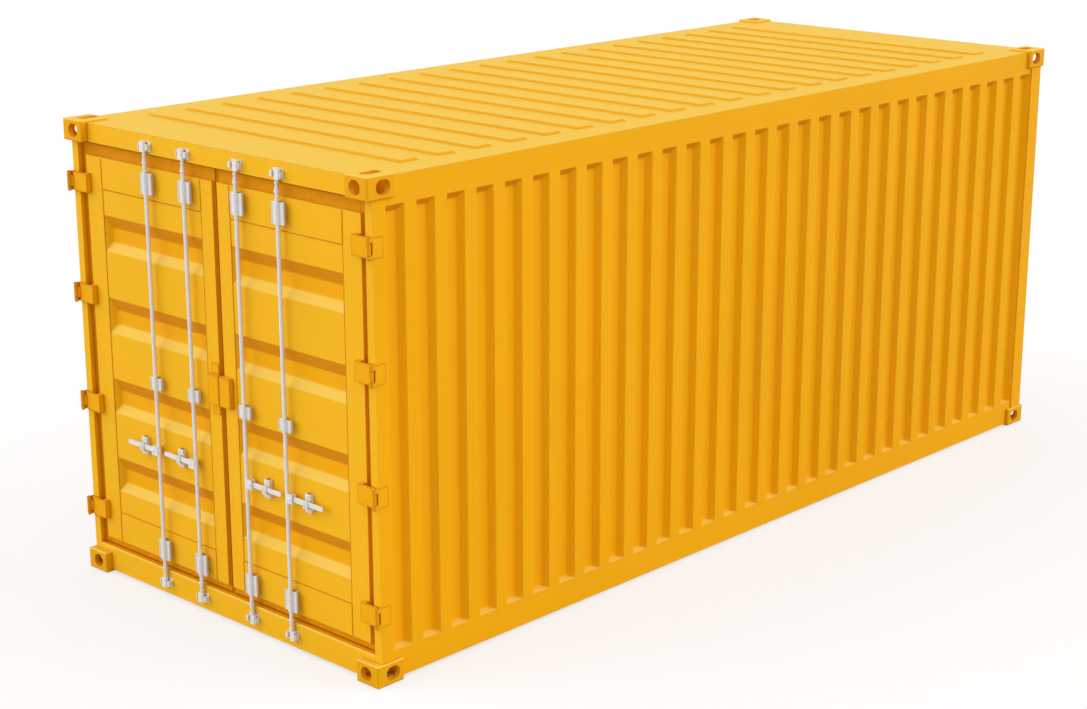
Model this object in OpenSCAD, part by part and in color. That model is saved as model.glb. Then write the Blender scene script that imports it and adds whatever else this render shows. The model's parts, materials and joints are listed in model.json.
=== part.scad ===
// Shipping container, twenty foot dry freight type, with double doors at one end.
// All sizes are in millimetres. The door end faces -Y, Z points up and the
// origin lies on the ground under the middle of the base.

/* [Overall size] */
// Length over the corner castings
container_length = 6058; // [5000:1:7500]
// Width over the corner castings
container_width = 2438; // [2300:1:2600]
// Height over the corner castings
container_height = 2591; // [2400:1:2900]

/* [Corner castings] */
// Length of a casting along the container
casting_length = 178; // [170:1:190]
// Width of a casting across the container
casting_width = 162; // [155:1:175]
// Height of a casting
casting_height = 118; // [112:1:130]
// Thickness of the outer walls of a casting
casting_wall = 28; // [20:1:32]
// Thickness of the inner walls of a casting
casting_back = 12; // [8:1:16]
// Rounding of the casting edges
casting_round = 8; // [3:1:12]
// Distance of a slot from the inner end wall of its casting
slot_end_edge = 1.25; // [0:0.25:8]
// Distance of a slot from the inner side wall of its casting
slot_side_edge = 28.75; // [20:0.25:32]
// Length of the twistlock slots
slot_length = 124.5; // [110:0.5:130]
// Width of the twistlock slots
slot_width = 63.5; // [55:0.5:70]
// Height of the oval holes in the outer faces
oval_height = 74; // [60:1:76]
// Width of the oval holes in the end faces
end_oval_width = 80; // [78:1:90]
// Width of the oval holes in the side faces
side_oval_width = 92; // [80:1:100]

/* [Frame] */
// Rise of the base members above the ground
base_rise = 12.5; // [10:0.5:20]
// Drop of the roof sheet below the casting tops
roof_drop = 14; // [12:1:25]
// Inset of the side walls and rails from the casting sides
wall_inset = 22; // [22:1:30]
// Inset of the corner posts from the casting sides
post_inset = 14; // [12:1:18]
// Inset of posts, header and sill from the door end of the castings
face_inset = 42; // [41:1:50]
// Inset of the front end members from the casting ends
front_inset = 14; // [10:1:20]
// Width of a door post seen from the door end
post_width = 52; // [45:1:60]
// Wall thickness of the corner posts
post_wall = 6; // [4:0.5:8]
// Width of a front post seen from the front end
front_post_width = 66; // [55:1:80]
// Width of the rebate lip beside the door opening
lip_width = 43; // [35:1:50]
// Thickness of the rebate lip
lip_thickness = 13; // [8:1:18]
// Height of the rebate lip under the header
header_lip = 80; // [60:1:95]
// Height of the top of the door sill
sill_top = 155; // [145:1:165]
// Wall thickness of header, sill and rails
rail_wall = 4; // [3:0.5:6]
// Width of the top side rails
top_rail_width = 60; // [50:1:80]
// Height of the bottom side rails above the sill
bottom_rail_rise = 7; // [5:1:15]
// Width of the flanges of the bottom side rails
bottom_rail_flange = 45; // [35:1:55]

/* [Corrugated walls] */
// Thickness of the steel sheets
sheet = 2; // [1.5:0.1:3]
// Least plain border beside the first and last recess of a wall
recess_border = 6; // [4:1:40]
// Distance from one recess to the next
recess_pitch = 202.5; // [190:0.5:204]
// Width of a recess at its mouth
recess_mouth = 120; // [100:1:135]
// Run of the sloped flanks of a recess
recess_flank = 26; // [15:1:35]
// Depth of the recesses
recess_depth = 36; // [25:1:40]
// Height of the plain band over the recesses
band_above = 41; // [30:1:60]
// Height of the plain band under the recesses
band_below = 4; // [3:1:20]
// Run of the slope at the top of a recess
slope_above = 34; // [15:1:45]
// Run of the ledge at the bottom of a recess
slope_below = 9; // [4:1:20]

/* [Roof] */
// Least distance of the first and last rib from the container ends
rib_end_inset = 400; // [300:1:500]
// Distance from one rib to the next
rib_pitch = 256; // [220:1:258]
// Width of a rib at its foot
rib_foot = 126; // [100:1:150]
// Run of the sloped sides of a rib
rib_slope = 12; // [6:1:20]
// Height of a rib
rib_height = 11; // [6:0.5:11]
// Distance of the rib ends from the casting sides
rib_inset = 205; // [180:1:260]

/* [Floor] */
// Thickness of the floor boards
board_thickness = 28; // [18:1:32]
// Number of boards along the floor
board_count = 5; // [3:1:8]
// Gap between the floor boards
board_gap = 3; // [2:0.5:6]
// Number of cross members
cross_count = 16; // [8:1:20]
// Width of a cross member
cross_width = 45; // [35:1:60]
// Rise of the cross members above the base members
cross_rise = 5; // [3:1:12]

/* [Doors] */
// Inset of the door faces from the door end of the castings
door_inset = 58; // [56:1:64]
// Thickness of a door leaf
leaf_thickness = 50; // [45:1:60]
// Gap between a closed leaf and the rebate lips
rebate_gap = 5; // [5:0.5:10]
// Gap beside a leaf on its hinge side
hinge_side_gap = 48; // [40:1:50]
// Gap over the leaves
top_gap = 76; // [68:1:80]
// Gap under the leaves
bottom_gap = 45; // [38:1:55]
// Gap between the two leaves
seam_gap = 42; // [36:1:50]
// Width of the hinge side stiles
hinge_stile = 130; // [122:1:145]
// Width of the stiles at the seam
lock_stile = 93; // [92:1:110]
// Height of the top and bottom rails of a leaf
leaf_rail = 170; // [160:1:190]
// Wall thickness of the leaf frame
leaf_wall = 4; // [3:0.5:6]
// Diameter of the drain hole in the leaf frame
drain_d = 12; // [8:1:20]
// Step from the leaf frame back to the pressed panel
panel_step = 2; // [1:0.5:4]
// Distance from one door recess to the next
door_recess_pitch = 460; // [440:1:480]
// Plain band of the panel under the lowest door recess
door_band_low = 133; // [100:1:160]
// Least plain band of the panel over the highest door recess
door_band_high = 20; // [10:1:60]
// Height of a door recess at its mouth
door_recess_mouth = 200; // [160:1:210]
// Run of the slope at the top of a door recess
door_slope_above = 74; // [40:1:80]
// Run of the slope at the bottom of a door recess
door_slope_below = 48; // [40:1:70]
// Run of the slopes at the ends of a door recess
door_recess_end = 25; // [12:1:40]
// Depth of the door recesses
door_recess_depth = 34; // [25:1:38]
// Plain border of the panel beside the recesses
door_recess_border = 6; // [4:1:20]
// Width of the seal beside a leaf
seal_width = 42; // [30:1:43]
// Height of the seal over a leaf
seal_above = 66; // [40:1:70]
// Height of the seal under a leaf
seal_below = 36; // [24:1:38]
// Width of the seal at the seam
seal_seam = 16; // [10:0.5:16]
// Depth of the seal
seal_depth = 24; // [16:1:26]
// Set back of the seal from the door face
seal_setback = 10; // [6:1:22]

/* [Hinges] */
// Number of hinges on each leaf
hinge_count = 4; // [2:1:4]
// Height of the lowest hinge above the lower edge of a leaf
hinge_low_inset = 171; // [140:1:200]
// Distance of the highest hinge from the upper edge of a leaf
hinge_high_inset = 151; // [120:1:180]
// Height of a hinge
hinge_height = 105; // [85:1:120]
// Distance of the hinge pins from the casting faces
pin_inset = 12; // [12:0.5:13]
// Radius of a hinge pin
pin_r = 6; // [4:0.5:7]
// Radius of the hinge knuckles
knuckle_r = 11.5; // [10:0.5:11.5]
// Radial clearance of the hinge pins
pin_clearance = 0.08; // [0.05:0.01:0.1]
// Height of the fixed knuckle at each end of a hinge
lug_height = 22; // [15:1:26]
// Gap between the fixed and the moving knuckles
knuckle_gap = 0.6; // [0.5:0.1:1.5]
// Thickness of the hinge plates
hinge_plate = 8; // [6:0.5:9]
// Gap between a hinge strap and the post behind it
strap_gap = 8; // [6:0.5:9]
// Reach of a hinge strap over the hinge stile
strap_reach = 36; // [25:1:60]
// Clearance between a hinge strap and the fixed lugs
strap_clear = 6; // [5:0.5:14]
// Distance of the block under a hinge strap from the edge of the leaf
strap_edge = 3; // [2:0.5:8]
// Length of the fixed hinge plate along the side
lug_reach = 62; // [40:1:75]
// Thickness of the fixed hinge plate
lug_plate = 6; // [4:0.5:7]

/* [Locking rods] */
// Distance of the inner rods from the middle
rod_inner_x = 212; // [205:1:225]
// Clearance between the tip of an inner handle and the axis of the outer rod
rod_tip_gap = 47; // [35:1:60]
// Clearance between a cam and the keeper plate behind it
cam_gap = 2; // [2:0.5:4]
// Radius of a locking rod
rod_r = 11; // [9:0.5:13]
// Radius of the necks at the rod ends
neck_r = 8; // [7:0.5:10]
// Length of a neck
neck_length = 38; // [28:1:44]
// Height of a locking cam
cam_height = 52; // [44:1:60]
// Radius of a locking cam
cam_r = 12; // [10:0.5:12]
// Reach of the cam nose from the rod axis
cam_nose = 27; // [22:1:34]
// Thickness of the cam nose
cam_thick = 22; // [14:1:24]
// Height of the lower cams above the ground
cam_low_z = 82; // [76:1:92]
// Height of the upper cams above the bottom of the header
cam_high_z = 42; // [36:1:52]
// Clearance between a cam nose and the keeper ear beside it
keeper_gap = 6; // [5:0.5:8]
// Clearance between a cam and the broad keeper ear
keeper_back_gap = 12; // [11:0.5:14]
// Thickness of the keeper ear beside the cam nose
keeper_ear = 7; // [5:0.5:10]
// Thickness of the broad keeper ear
keeper_broad = 16; // [12:1:24]
// Thickness of the keeper back plate
keeper_back = 3; // [2:0.5:3]
// Height of the keeper ears
keeper_height = 30; // [24:1:40]
// Height of the keeper back plate
keeper_plate = 56; // [48:1:66]

/* [Rod brackets] */
// Width of a rod bracket
bracket_width = 92; // [80:1:105]
// Height of the brackets at the rod ends
bracket_height = 115; // [100:1:140]
// Height of the guide in the middle of a rod
guide_height = 66; // [45:1:75]
// Drop of the middle guides under the middle of the second plain band
guide_drop = 69; // [50:1:90]
// Distance of the lower brackets from the upper edge of the bottom rail of a leaf
bracket_low_edge = 40; // [20:1:50]
// Distance of the upper brackets from the lower edge of the top rail of a leaf
bracket_high_edge = 33; // [20:1:50]
// Thickness of the bracket steel
bracket_plate = 4; // [3:0.5:4]
// Set back of the bracket front from the rod axis
bracket_seat = 2; // [0:0.5:6]
// Width of a bracket over the webs that carry it
bracket_base = 50; // [44:1:60]
// Height of the lips along the edges of a bracket
bracket_lip = 4; // [2:0.5:6]
// Clearance between a rod and its bracket
bracket_gap = 0.5; // [0.4:0.1:1]

/* [Handles] */
// Rise of the handles above the middle of the first plain band
handle_rise = 10; // [0:1:25]
// Reach of a handle from the rod axis
handle_reach = 275; // [255:1:290]
// Height of the handle bar
handle_height = 30; // [24:1:34]
// Height of the handle bar at its free end
handle_tip = 25; // [20:1:30]
// Thickness of the handle bar
handle_thick = 8; // [6:0.5:10]
// Distance of the handle pivot from the rod axis
pivot_reach = 36; // [34:0.5:40]
// Radius of the handle pivot
pivot_r = 6; // [4:0.5:7]
// Radial clearance of the handle pivot
pivot_clearance = 0.08; // [0.05:0.01:0.1]
// Height of the handle hub
hub_height = 50; // [40:1:60]
// Depth of the handle hub
hub_depth = 30; // [26:1:32]
// Clearance on each side of the handle inside its hub
hub_gap = 0.4; // [0.35:0.05:0.6]
// Distance of the handle catch from the rod axis
catch_reach = 147; // [135:1:160]
// Width of a handle catch
catch_width = 42; // [34:1:50]
// Height of a handle catch
catch_height = 100; // [85:1:115]
// Thickness of the catch steel
catch_plate = 4; // [3:0.5:5]
// Gap between a handle and the catch plate behind it
catch_gap = 6; // [5:0.5:8]
// Gap between a handle and the shelf under it
shelf_gap = 6; // [5:0.5:8]
// Thickness of the shelf
shelf_thick = 8; // [6:0.5:10]
// Reach of the shelf in front of the catch plate
shelf_reach = 16; // [10:1:18]

/* [Lock plate] */
// Height of the lower edge of the lock plate
lock_low = 1210; // [1190:1:1230]
// Height of the lock plate
lock_height = 164; // [140:1:180]
// Reach of the lock plate on the left leaf
lock_left = 90; // [75:1:92]
// Reach of the lock plate on the right leaf
lock_right = 88; // [80:1:112]
// Gap between the halves of the lock plate
lock_split = 5; // [5:0.5:12]
// Depth of the lock plate halves
lock_depth = 22; // [16:1:24]
// Wall thickness of the lock plate halves
lock_wall = 5; // [4:0.5:7]
// Width of the backing plate on the left leaf
backing_width = 62; // [50:1:66]
// Height of the backing plate
backing_height = 282; // [250:1:300]
// Thickness of the backing plate
backing_thick = 5; // [4:0.5:7]

/* [Hidden] */
$fn = 48;
eps = 1;
half_l = container_length / 2;
half_w = container_width / 2;
casting_low = container_height - casting_height;
roof_top = container_height - roof_drop;
frame_top = roof_top - sheet;
wall_x = half_w - wall_inset;
post_x = half_w - post_inset;
end_y = -half_l;
face_y = end_y + face_inset;
door_y = end_y + door_inset;
panel_y = door_y + panel_step;
lip_y = door_y + leaf_thickness + rebate_gap;
post_end_y = lip_y + lip_thickness;
post_end = post_end_y - end_y;
front_y = half_l - front_inset;
front_end_y = half_l - post_end;
jamb_x = post_x - post_width;
lip_x = jamb_x - lip_width;
leaf_x = jamb_x - hinge_side_gap;
leaf_low = sill_top + bottom_gap;
leaf_high = casting_low - top_gap;
seam_x = seam_gap / 2;
pin_x = half_w - pin_inset;
pin_y = end_y + pin_inset;
rod_outer_x = rod_inner_x + handle_reach + rod_tip_gap;
rod_y = face_y - keeper_back - cam_gap - cam_r;
cam_high = casting_low + cam_high_z;
floor_top = sill_top;
bottom_rail_top = sill_top + bottom_rail_rise;
floor_low = floor_top - board_thickness;
floor_x = wall_x - recess_depth - sheet - 2;
cross_low = base_rise + cross_rise;
rail_web = rail_wall + 0.5;
slot_y = casting_length - casting_back - slot_end_edge - slot_length / 2;
slot_x = casting_width - casting_back - slot_side_edge - slot_width / 2;
panel_low = leaf_low + leaf_rail;
panel_high = leaf_high - leaf_rail;
side_run = 2 * half_l - 2 * post_end;
front_run = 2 * (post_x - front_post_width);
side_recess_count = 1 + floor((side_run - 2 * recess_border - recess_mouth) / recess_pitch);
front_recess_count = 1 + floor((front_run - 2 * recess_border - recess_mouth) / recess_pitch);
rib_count = 1 + floor((container_length - 2 * rib_end_inset - rib_foot) / rib_pitch);
door_recess_first = panel_low + door_band_low;
door_recess_count = 1 + floor((panel_high - door_band_high - door_recess_first - door_recess_mouth)
    / door_recess_pitch);
first_band = door_recess_first + (door_recess_mouth + door_recess_pitch) / 2;
handle_z = first_band + handle_rise;
guide_z = first_band + door_recess_pitch - guide_drop;
hinge_low_z = leaf_low + hinge_low_inset;
hinge_step = (leaf_high - hinge_high_inset - hinge_low_z) / (hinge_count - 1);
strap_y = face_y - strap_gap - hinge_plate;
strap_x0 = pin_x - 9;
strap_x1 = leaf_x - strap_reach;

paint = [0.94, 0.67, 0.05];
zinc = [0.84, 0.82, 0.79];
rubber = [0.36, 0.24, 0.08];
wood = [0.55, 0.40, 0.25];

// Flat outline with round ends, longer along the second axis
module oval(w, h) {
    square([w, h - w], center = true);
    translate([0, (h - w) / 2]) circle(d = w);
    translate([0, (w - h) / 2]) circle(d = w);
}

// Outline of a rectangle with rounded corners and its low corner at zero
module rounded(w, h, r) {
    translate([r, 0]) square([w - 2 * r, h]);
    translate([0, r]) square([w, h - 2 * r]);
    for (x = [r, w - r], y = [r, h - r])
        translate([x, y]) circle(r = r);
}

// Prism along X from an outline drawn in Y and Z
module along_x(x0, x1) {
    translate([x0, 0, 0]) rotate([90, 0, 90]) linear_extrude(height = x1 - x0) children();
}

// Prism along Y from an outline drawn in X and Z
module along_y(y0, y1) {
    translate([0, y1, 0]) rotate([90, 0, 0]) linear_extrude(height = y1 - y0) children();
}

// Box from its low and high corner
module box(a, b) {
    translate(a) cube([b[0] - a[0], b[1] - a[1], b[2] - a[2]]);
}

// Rectangular tube along X
module tube_x(a, b, t) {
    difference() {
        box(a, b);
        box([a[0] - eps, a[1] + t, a[2] + t], [b[0] + eps, b[1] - t, b[2] - t]);
    }
}

// Rectangular tube along Y
module tube_y(a, b, t) {
    difference() {
        box(a, b);
        box([a[0] + t, a[1] - eps, a[2] + t], [b[0] - t, b[1] + eps, b[2] - t]);
    }
}

// Rectangular tube along Z
module tube_z(a, b, t) {
    difference() {
        box(a, b);
        box([a[0] + t, a[1] + t, a[2] - eps], [b[0] - t, b[1] - t, b[2] + eps]);
    }
}

// One corner casting with its outer corner at zero and its slot facing down
module casting() {
    difference() {
        intersection() {
            linear_extrude(height = casting_height)
                rounded(casting_width, casting_length, casting_round);
            along_y(0, casting_length) rounded(casting_width, casting_height, casting_round);
            along_x(0, casting_width) rounded(casting_length, casting_height, casting_round);
        }
        box([casting_wall, casting_wall, casting_wall],
            [casting_width - casting_back, casting_length - casting_back, casting_height - casting_back]);
        translate([slot_x, slot_y, -eps]) linear_extrude(height = casting_wall + 2 * eps)
            oval(slot_width, slot_length);
        along_y(-eps, casting_wall + eps) translate([slot_x, casting_height / 2]) rotate(90)
            oval(oval_height, end_oval_width);
        along_x(-eps, casting_wall + eps) translate([slot_y, casting_height / 2]) rotate(90)
            oval(oval_height, side_oval_width);
    }
}

// Four castings of one level
module casting_ring() {
    for (sx = [0, 1], sy = [0, 1])
        mirror([sx, 0, 0]) mirror([0, sy, 0]) translate([-half_w, -half_l, 0]) casting();
}

module bottom_corner_castings() {
    color(paint) casting_ring();
}

module top_corner_castings() {
    color(paint) translate([0, 0, container_height]) mirror([0, 0, 1]) casting_ring();
}

// Hollow door post on the left with the rebate lip
module door_post() {
    tube_z([-post_x, face_y, casting_height], [-jamb_x, post_end_y, casting_low], post_wall);
    box([-jamb_x, lip_y, sill_top], [-lip_x, post_end_y, casting_low]);
}

module left_door_post() {
    color(paint) door_post();
}

module right_door_post() {
    color(paint) mirror([1, 0, 0]) door_post();
}

// Hollow front post on the left
module front_post() {
    tube_z([-post_x, front_end_y, casting_height],
        [front_post_width - post_x, front_y, casting_low], post_wall);
}

module left_front_post() {
    color(paint) front_post();
}

module right_front_post() {
    color(paint) mirror([1, 0, 0]) front_post();
}

module door_header() {
    color(paint) {
        tube_x([casting_width - half_w, face_y, casting_low],
            [half_w - casting_width, post_end_y, frame_top], rail_wall);
        box([-lip_x, lip_y, casting_low - header_lip], [lip_x, post_end_y, casting_low]);
    }
}

// Hollow base member between the castings, carried over them to the posts at x1
module base_member(x1, y0, y1) {
    t = rail_wall;
    x0 = half_w - casting_width;
    difference() {
        union() {
            box([-x0, y0, base_rise], [x0, y1, sill_top]);
            box([-x1, y0, casting_height], [x1, y1, sill_top]);
        }
        box([-x0 - eps, y0 + t, base_rise + t], [x0 + eps, y1 - t, sill_top - t]);
        box([-x1 - eps, y0 + t, casting_height + t], [x1 + eps, y1 - t, sill_top - t]);
    }
}

module door_sill() {
    color(paint) base_member(jamb_x, face_y, post_end_y);
}

module front_top_rail() {
    color(paint) tube_x([casting_width - half_w, front_end_y, casting_low],
        [half_w - casting_width, front_y, frame_top], rail_wall);
}

module front_bottom_rail() {
    color(paint) base_member(post_x - front_post_width, front_end_y, front_y);
}

// Top rail on the left
module top_rail() {
    tube_y([-wall_x, casting_length - half_l, casting_low],
        [top_rail_width - wall_x, half_l - casting_length, frame_top], rail_wall);
}

module left_top_rail() {
    color(paint) top_rail();
}

module right_top_rail() {
    color(paint) mirror([1, 0, 0]) top_rail();
}

// Channel shaped bottom rail on the left, cut round the castings
module bottom_rail() {
    difference() {
        box([-wall_x, post_end_y, base_rise], [bottom_rail_flange - wall_x, front_end_y, bottom_rail_top]);
        box([rail_web - wall_x, post_end_y - eps, base_rise + rail_web],
            [bottom_rail_flange - wall_x + eps, front_end_y + eps, bottom_rail_top - rail_web]);
        for (s = [-1, 1])
            translate([0, s * half_l, 0])
                cube([3 * half_w, 2 * casting_length, 2 * casting_height], center = true);
    }
}

module left_bottom_rail() {
    color(paint) bottom_rail();
}

module right_bottom_rail() {
    color(paint) mirror([1, 0, 0]) bottom_rail();
}

// Outlines of a row of recesses, drawn along the row with the depth upward, grown by g
module recess_row(count, pitch, mouth, flank, depth, g) {
    first = -((count - 1) * pitch + mouth) / 2;
    for (i = [0 : count - 1])
        translate([first + i * pitch, 0])
            polygon([[-g, -eps], [mouth + g, -eps], [mouth + g, 0], [mouth - flank + g, depth + g],
                [flank - g, depth + g], [-g, 0]]);
}

// Outline of one recess across the row with the depth upward, grown by g
module recess_across(low, high, slope_low, slope_high, depth, g) {
    polygon([[low - g, -eps], [high + g, -eps], [high + g, 0], [high - slope_high + g, depth + g],
        [low + slope_low - g, depth + g], [low - g, 0]]);
}

// Pressed recesses of a wall standing in the XZ plane, the depth running toward +Y
module wall_recesses(count, low, high, g) {
    intersection() {
        translate([0, 0, low - 5]) linear_extrude(height = high - low + 10)
            recess_row(count, recess_pitch, recess_mouth, recess_flank, recess_depth, g);
        along_x(-half_l, half_l) rotate(-90) mirror([1, 0])
            recess_across(low, high, slope_below, slope_above, recess_depth, g);
    }
}

// Corrugated wall of a given length standing in the XZ plane with its outer face on Y = 0
module pressed_wall(length, count, z0, z1) {
    difference() {
        union() {
            box([-length / 2, 0, z0], [length / 2, sheet, z1]);
            wall_recesses(count, z0 + band_below, z1 - band_above, sheet);
        }
        wall_recesses(count, z0 + band_below, z1 - band_above, 0);
        box([-length, -2 * eps, z0 - 20], [length, 0, z1 + 20]);
    }
}

// Side wall on the left
module side_wall() {
    translate([-wall_x, 0, 0]) rotate(-90)
        pressed_wall(side_run, side_recess_count, bottom_rail_top, casting_low);
}

module left_side_wall() {
    color(paint) side_wall();
}

module right_side_wall() {
    color(paint) mirror([1, 0, 0]) side_wall();
}

module front_wall() {
    color(paint) translate([0, front_y - 6, 0]) rotate(180)
        pressed_wall(front_run, front_recess_count, sill_top, casting_low);
}

// Outline of the roof ribs over the length, grown inward by g
module rib_row(g) {
    first = -((rib_count - 1) * rib_pitch + rib_foot) / 2;
    for (i = [0 : rib_count - 1])
        translate([first + i * rib_pitch, roof_top])
            polygon([[g, -2 * sheet], [rib_foot - g, -2 * sheet], [rib_foot - g, 0 - g],
                [rib_foot - rib_slope - g, rib_height - g], [rib_slope + g, rib_height - g], [g, 0 - g]]);
}

// Outline of one rib across the roof, grown inward by g
module rib_across(g) {
    reach = half_w - rib_inset;
    translate([0, roof_top])
        polygon([[g - reach, -2 * sheet], [reach - g, -2 * sheet], [reach - g, 0 - g],
            [reach - rib_slope - g, rib_height - g], [rib_slope + g - reach, rib_height - g],
            [g - reach, 0 - g]]);
}

// Raised ribs of the roof
module ribs(g) {
    intersection() {
        along_x(-half_w, half_w) rib_row(g);
        along_y(-half_l, half_l) rib_across(g);
    }
}

module roof_panel() {
    color(paint) difference() {
        union() {
            box([-wall_x, face_y, frame_top], [wall_x, front_y, roof_top]);
            intersection() {
                ribs(0);
                box([-half_w, -half_l, frame_top], [half_w, half_l, container_height]);
            }
        }
        ribs(sheet);
        for (sx = [-1, 1], sy = [-1, 1])
            translate([sx * half_w, sy * half_l, frame_top])
                cube([2 * casting_width, 2 * casting_length, 8 * sheet], center = true);
    }
}

module floor_cross_members() {
    span = half_l - casting_length - 40;
    color(paint) for (i = [0 : cross_count - 1])
        translate([0, -span + i * (2 * span - cross_width) / (cross_count - 1), 0])
            difference() {
                box([rail_web - wall_x, 0, cross_low], [wall_x - rail_web, cross_width, floor_low]);
                box([-half_w, rail_wall, cross_low + rail_wall],
                    [half_w, cross_width + eps, floor_low - rail_wall]);
                for (s = [-1, 1])
                    translate([s * wall_x, 0, 0]) cube([2 * bottom_rail_flange, 4 * cross_width,
                        2 * (base_rise + rail_web)], center = true);
            }
}

module floor_boards() {
    run = front_end_y - post_end_y;
    board_run = (run - (board_count - 1) * board_gap) / board_count;
    color(wood) for (i = [0 : board_count - 1], s = [0, 1])
        mirror([s, 0, 0])
            box([-floor_x, post_end_y + i * (board_run + board_gap), floor_low],
                [-board_gap / 2, post_end_y + i * (board_run + board_gap) + board_run, floor_top]);
}

// Keeper round one cam of the left leaf, open to the front, drawn at the rod axis
module keeper() {
    y1 = face_y - rod_y;
    nose_side = -cam_nose - keeper_gap;
    back_side = cam_r + keeper_back_gap;
    low = nose_side - keeper_ear;
    high = back_side + keeper_broad;
    box([low, y1 - keeper_back, -keeper_plate / 2], [high, y1, keeper_plate / 2]);
    box([low, -cam_r, -keeper_height / 2], [nose_side, y1, keeper_height / 2]);
    box([back_side, -cam_r, -keeper_height / 2], [high, y1, keeper_height / 2]);
}

module cam_keepers() {
    color(zinc) for (s = [0, 1], x = [rod_inner_x, rod_outer_x], z = [cam_low_z, cam_high])
        mirror([s, 0, 0]) translate([-x, rod_y, z]) keeper();
}

// Outline of the fixed knuckle and its arm, on the left
module lug_outline() {
    translate([-pin_x, pin_y]) circle(r = knuckle_r);
    polygon([[-pin_x - knuckle_r + 2, pin_y + 4], [-pin_x + 8, pin_y + 6],
        [-post_x, pin_y + 21], [-post_x, pin_y + 26], [-post_x - lug_plate, pin_y + 26]]);
}

// Fixed hinge part on the left with its pin
module hinge_lug() {
    for (s = [0, 1])
        mirror([0, 0, s]) translate([0, 0, hinge_height / 2 - lug_height])
            linear_extrude(height = lug_height) lug_outline();
    translate([-pin_x, pin_y, -hinge_height / 2]) cylinder(r = pin_r, h = hinge_height);
    box([-post_x - lug_plate, pin_y + 21, -hinge_height / 2],
        [-post_x, face_y + lug_reach, hinge_height / 2]);
}

// Repeats a part at each hinge height
module at_hinges() {
    for (i = [0 : hinge_count - 1])
        translate([0, 0, hinge_low_z + i * hinge_step]) children();
}

module left_hinge_lugs() {
    color(paint) at_hinges() hinge_lug();
}

module right_hinge_lugs() {
    color(paint) mirror([1, 0, 0]) at_hinges() hinge_lug();
}

// Moving hinge strap on the left
module hinge_strap() {
    half = hinge_height / 2 - lug_height - knuckle_gap;
    difference() {
        union() {
            translate([0, 0, -half]) linear_extrude(height = 2 * half) {
                translate([-pin_x, pin_y]) circle(r = knuckle_r);
                polygon([[-pin_x, pin_y + 8], [-pin_x + 8, pin_y + 1], [20 - strap_x0, strap_y],
                    [20 - strap_x0, strap_y + hinge_plate], [-strap_x0, strap_y + hinge_plate]]);
            }
            translate([0, 0, -hinge_height / 2]) linear_extrude(height = hinge_height)
                polygon([[strap_clear - strap_x0, strap_y], [-strap_x1, strap_y], [-strap_x1, door_y],
                    [strap_edge - leaf_x, door_y], [strap_edge - leaf_x, strap_y + hinge_plate],
                    [strap_clear - strap_x0, strap_y + hinge_plate]]);
        }
        translate([-pin_x, pin_y, -hinge_height]) cylinder(r = pin_r + pin_clearance, h = 2 * hinge_height);
    }
}

module left_hinge_straps() {
    color(paint) at_hinges() hinge_strap();
}

module right_hinge_straps() {
    color(paint) mirror([1, 0, 0]) at_hinges() hinge_strap();
}

// Hollow frame of the left leaf
module door_frame() {
    y1 = door_y + leaf_thickness;
    difference() {
        box([-leaf_x, door_y, leaf_low], [-seam_x, y1, leaf_high]);
        box([hinge_stile - leaf_x, door_y - eps, panel_low], [-seam_x - lock_stile, y1 + eps, panel_high]);
        difference() {
            box([leaf_wall - leaf_x, door_y + leaf_wall, leaf_low + leaf_wall],
                [-seam_x - leaf_wall, y1 - leaf_wall, leaf_high - leaf_wall]);
            box([hinge_stile - leaf_x - leaf_wall, door_y - eps, panel_low - leaf_wall],
                [leaf_wall - seam_x - lock_stile, y1 + eps, panel_high + leaf_wall]);
        }
        for (x = [hinge_stile / 2 - leaf_x, -seam_x - lock_stile / 2])
            translate([x, door_y + leaf_thickness / 2, leaf_low - eps])
                cylinder(d = drain_d, h = leaf_wall + 2 * eps);
    }
}

module left_door_frame() {
    color(paint) door_frame();
}

module right_door_frame() {
    color(paint) mirror([1, 0, 0]) door_frame();
}

// Pressed recesses of the left leaf, grown by g
module door_recesses(g) {
    x0 = hinge_stile - leaf_x + door_recess_border;
    x1 = -seam_x - lock_stile - door_recess_border;
    intersection() {
        along_x(x0 - 5, x1 + 5) rotate(-90) mirror([1, 0])
            for (i = [0 : door_recess_count - 1])
                recess_across(door_recess_first + i * door_recess_pitch,
                    door_recess_first + door_recess_mouth + i * door_recess_pitch,
                    door_slope_below, door_slope_above, door_recess_depth, g);
        translate([0, 0, leaf_low]) linear_extrude(height = leaf_high - leaf_low)
            recess_across(x0, x1, door_recess_end, door_recess_end, door_recess_depth, g);
    }
}

// Pressed panel of the left leaf
module door_panel() {
    difference() {
        union() {
            box([hinge_stile - leaf_x, panel_y, panel_low],
                [-seam_x - lock_stile, panel_y + sheet, panel_high]);
            translate([0, panel_y, 0]) door_recesses(sheet);
        }
        translate([0, panel_y, 0]) door_recesses(0);
        box([-half_w, panel_y - 2 * eps, 0], [half_w, panel_y, container_height]);
    }
}

module left_door_panel() {
    color(paint) door_panel();
}

module right_door_panel() {
    color(paint) mirror([1, 0, 0]) door_panel();
}

// Seal round the left leaf
module door_seal() {
    y0 = door_y + seal_setback;
    difference() {
        box([-leaf_x - seal_width, y0, leaf_low - seal_below],
            [seal_seam - seam_x, y0 + seal_depth, leaf_high + seal_above]);
        box([-leaf_x, y0 - eps, leaf_low], [-seam_x, y0 + seal_depth + eps, leaf_high]);
    }
}

module left_door_seal() {
    color(rubber) door_seal();
}

module right_door_seal() {
    color(rubber) mirror([1, 0, 0]) door_seal();
}

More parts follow.
